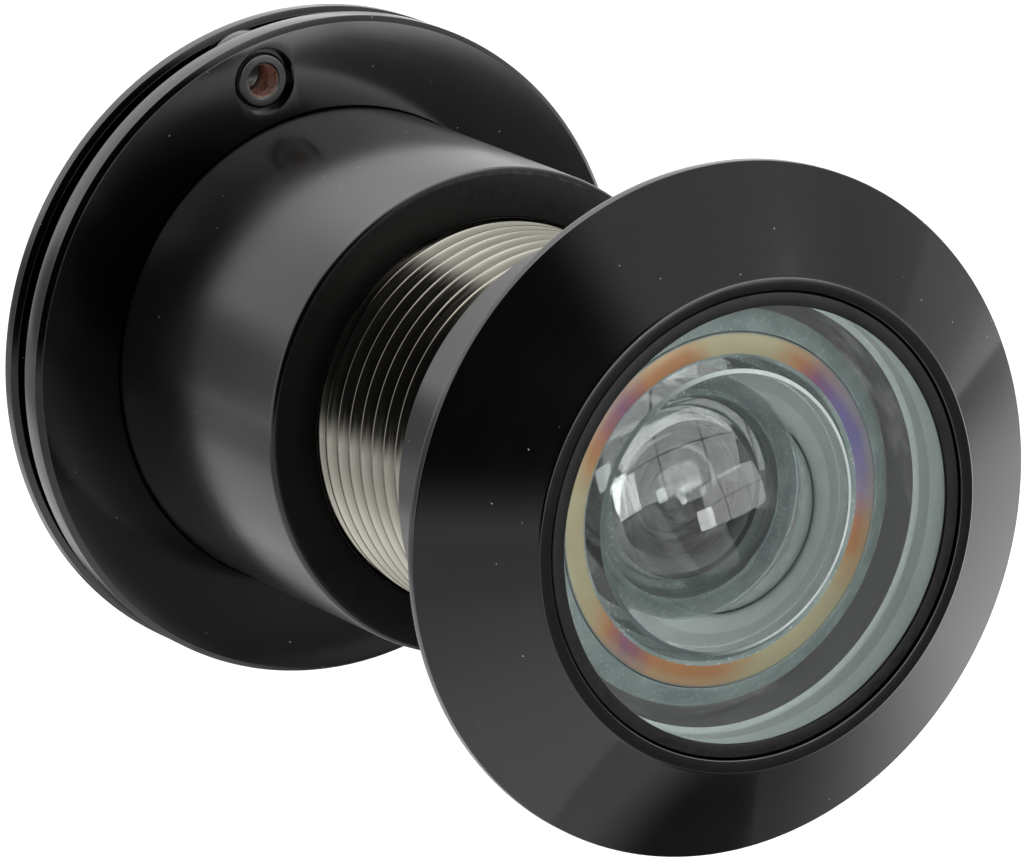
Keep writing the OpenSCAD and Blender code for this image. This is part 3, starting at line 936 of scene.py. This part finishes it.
# ------------------------------------------------------------------ cover
def build_cover():
    """The privacy cover with its shallow dome, and the felt pad on its inner face."""
    dome_r, dome_h, dome_steps = 17.2, 0.7, 40
    chamfer, clear = 0.3, 1.0
    rim_back = COVER_BACK - dome_h
    shares = [1 - i / dome_steps for i in range(dome_steps + 1)]
    dome = [Vector((dome_r * share, rim_back + dome_h * (1 - share**2))) for share in shares]
    edge = outline([
        (0, COVER_FRONT), (ROSE_R - chamfer, COVER_FRONT, 0.08), (ROSE_R, COVER_FRONT + chamfer, 0.08),
        (ROSE_R, rim_back - chamfer, 0.1), (ROSE_R - chamfer, rim_back, 0.1),
    ])
    cover = lathe("privacy_cover_turned", edge + dome)
    head_seat_r, seat_y = high("pivot_rivet").x + 0.2, RIVET_BACK - HEAD_T
    hole_r = RIVET_R + 0.05
    hole = vectors(
        (0, COVER_FRONT - clear), (hole_r, COVER_FRONT - clear), (hole_r, seat_y), (head_seat_r, seat_y),
        (head_seat_r, COVER_BACK + clear), (0, COVER_BACK + clear),
    )
    cut(cover, lathe("hole", hole, PIVOT_Z, SMALL_ROUND))
    dress(cover, "privacy_cover", COAT)

    pad = outline([(0, PAD_FRONT), (PAD_R, PAD_FRONT, 0.12), (PAD_R, COVER_FRONT), (0, COVER_FRONT)], 0.03)
    dress(lathe("cover_pad_cut", pad), "cover_pad", FELT)


build_flange()
build_barrel()
build_objective()
build_cell()
build_inner_lenses()
build_sleeve()
build_rose()
build_pivot()
build_cover()


# ------------------------------------------------------------------ camera
# solved from the coaxial circles of the part: degrees, then millimetres
VIEW_AZIMUTH = -26.0
VIEW_ELEVATION = 21.93
VIEW_ROLL = -14.36
VIEW_DISTANCE = 540.1
VIEW_TARGET = Vector((-4.17, 13.16, 3.22))
VIEW_LENS = 351.6
SENSOR_WIDTH = 36


def direction(azimuth, elevation):
    """Unit vector from the object. Azimuth 0 is -Y, the street side, and 90 is +X."""
    a, e = math.radians(azimuth), math.radians(elevation)
    return Vector((math.sin(a) * math.cos(e), -math.cos(a) * math.cos(e), math.sin(e)))


def facing_axes(azimuth, elevation):
    """Right, up and back axes of a thing that looks at the object from a direction."""
    back = direction(azimuth, elevation)
    right = Vector((0, 0, 1)).cross(back).normalized()
    return right, back.cross(right), back


def turn_to(obj, right, up, back):
    obj.rotation_mode = "QUATERNION"
    obj.rotation_quaternion = Matrix((right, up, back)).transposed().to_quaternion()


def make_camera():
    data = bpy.data.cameras.new("camera")
    data.lens = VIEW_LENS
    data.sensor_width = SENSOR_WIDTH
    data.clip_start, data.clip_end = 0.01, 20
    camera = new_object("camera", data)
    right, up, back = facing_axes(VIEW_AZIMUTH, VIEW_ELEVATION)
    roll = math.radians(VIEW_ROLL)
    right, up = right * math.cos(roll) + up * math.sin(roll), up * math.cos(roll) - right * math.sin(roll)
    turn_to(camera, right, up, back)
    camera.location = (VIEW_TARGET + back * VIEW_DISTANCE) * MM
    bpy.context.scene.camera = camera


# ------------------------------------------------------------------ light and floor
FLOOR_Z = -44
FLOOR_HALF = 2500


def make_world():
    """A white tent, open to a dark room above the street side."""
    world = bpy.data.worlds.new("tent")
    bpy.context.scene.world = world
    world.use_nodes = True
    n = Nodes(world.node_tree)
    towards = n.add("ShaderNodeTexCoord", output=0)

    def lobe(azimuth, elevation, inner, outer):
        """1 within inner degrees of a direction, fading to 0 at outer degrees."""
        along = n.vector("DOT_PRODUCT", towards, direction(azimuth, elevation))
        return n.ramp(along, math.cos(math.radians(outer)), math.cos(math.radians(inner)))

    def blend(factor, a, b):
        """a where the factor is 0, b where it is 1."""
        return n.math("ADD", n.math("MULTIPLY", n.math("SUBTRACT", b, a), factor), a)

    tent, behind, dark_room, far_corner, side_share, roof = 0.85, 1.6, 0.01, 0.42, 0.72, 2.2
    light = blend(lobe(180, 10, 55, 100), tent, behind)
    light = blend(lobe(-55, 48, 37, 50), light, dark_room)
    light = blend(lobe(-149, 9, 4, 16), light, far_corner)
    light = blend(lobe(85, -6, 12, 38), light, n.math("MULTIPLY", light, side_share))
    light = n.math("ADD", light, n.math("MULTIPLY", lobe(140, 68, 15, 42), roof))
    background = world.node_tree.nodes["Background"]
    n.put(background.inputs["Color"], n.combine(light, light, light))


def lamp(name, azimuth, elevation, distance, size, radiance, across=0.0, upward=0.0):
    """A flat light that faces the object, moved sideways and upwards in its own plane."""
    right, up, back = facing_axes(azimuth, elevation)
    data = bpy.data.lights.new(name, "AREA")
    data.shape = "RECTANGLE"
    data.size, data.size_y = size[0] * MM, size[1] * MM
    data.energy = radiance * math.pi * data.size * data.size_y
    obj = new_object(name, data)
    turn_to(obj, right, up, back)
    obj.location = (back * distance + right * across + up * upward) * MM
    obj.visible_camera = False
    return obj


def window(azimuth, elevation, distance, pane, bar, radiance):
    """A window of two rows of three panes in front of the lens. The glass is lit by it and mirrors it."""
    for column in (-1, 0, 1):
        for row in (-0.5, 0.5):
            lamp("window_pane", azimuth, elevation, distance, pane, radiance,
                 column * (pane[0] + bar), row * (pane[1] + bar))


def plane(name, low_corner, high_corner, z, material):
    """A level rectangle of the stage, from one (x, y) corner to the other."""
    bm = bmesh.new()
    (x0, y0), (x1, y1) = low_corner, high_corner
    corners = [bm.verts.new((x * MM, y * MM, z * MM)) for x, y in ((x0, y0), (x1, y0), (x1, y1), (x0, y1))]
    bm.faces.new(corners)
    obj = finish_mesh(bm, name)
    obj.data.materials.append(material)
    return obj


def paper(name):
    """White paper with painted shade: it turns a little darker away from the part."""
    material, n, shader = new_material(name)
    place = object_place(n)
    x, y, _ = n.split(place)
    away = n.vector("DISTANCE", n.combine(x, y), (0.03, 0.12, 0))
    # painted shade: the paper is darker away from the part
    colour = n.mix(n.ramp(away, 0.12, 0.24), grey(0.92), grey(0.56))
    n.put(shader["Base Color"], n.mix(n.noise(place, 40.0), colour, n.mix(0.03, colour, grey(0.5))))
    shader["Roughness"].default_value = 0.9
    shader["Specular IOR Level"].default_value = 0.1
    return material


def emitter(name):
    """A material that only shines; its strength is set by the caller."""
    material, n, shader = new_material(name)
    shader["Base Color"].default_value = grey(0)
    shader["Specular IOR Level"].default_value = 0
    shader["Emission Color"].default_value = grey(1)
    return material, n, shader


def glow(name):
    """Bright in the middle, level with the floor at both ends."""
    material, n, shader = emitter(name)
    x, _, _ = n.split(object_place(n))
    near = n.ramp(x, 5 * MM, 46 * MM, 0.25, 1.3)
    far = n.ramp(x, 80 * MM, 140 * MM, 0.0, 0.7)
    n.put(shader["Emission Strength"], n.math("SUBTRACT", near, far))
    return material


def shade(name, centre, inner, outer):
    """Dark in the middle, level with the floor outside."""
    material, n, shader = emitter(name)
    x, y, _ = n.split(object_place(n))
    away = n.vector("DISTANCE", n.combine(x, y), (centre[0] * MM, centre[1] * MM, 0))
    n.put(shader["Emission Strength"], n.ramp(away, inner * MM, outer * MM, 0.08, 0.9))
    return material


def make_stage():
    plane("floor", (-FLOOR_HALF, -FLOOR_HALF), (FLOOR_HALF, FLOOR_HALF), FLOOR_Z, paper("paper_with_painted_shade"))
    # cards that only reflections see: the black one keeps the flat faces deep black, the glowing one lights
    # the cone's lower right, and the shades stand for the shadows of a part that touches its table
    cards = [
        plane("black_card", (8, -170), (100, -8), FLOOR_Z + 1, matt_black("card", 0.006)),
        plane("glow_card", (5, -7), (150, 25), FLOOR_Z + 1, glow("glow")),
        plane("front_shade", (-22, -22), (16, 16), FLOOR_Z + 0.5, shade("front_shade", (-2, -2), 5, 18)),
        plane("belly_shade", (-20, 12), (45, 60), FLOOR_Z + 0.5, shade("belly_shade", (12, 36), 14, 30)),
        plane("back_shade", (-28, 60), (60, 140), FLOOR_Z + 0.7, shade("back_shade", (15, 97), 26, 42)),
    ]
    for card in cards:
        card.visible_camera = False
        card.visible_diffuse = False
        card.visible_shadow = False


make_camera()
make_world()
make_stage()
window(azimuth=22, elevation=8, distance=160, pane=(70, 66), bar=2.2, radiance=4.2)
# A narrow light from the other side reaches the right-hand wall inside the lens. It is hidden from direct
# reflections only: the domes behind the first lens still mirror it as small bright squares.
lamp("side_fill", azimuth=-14, elevation=-4, distance=165, size=(46, 58), radiance=11).visible_glossy = False
bpy.context.scene.view_settings.view_transform = "Standard"
bpy.context.scene.view_settings.look = "None"
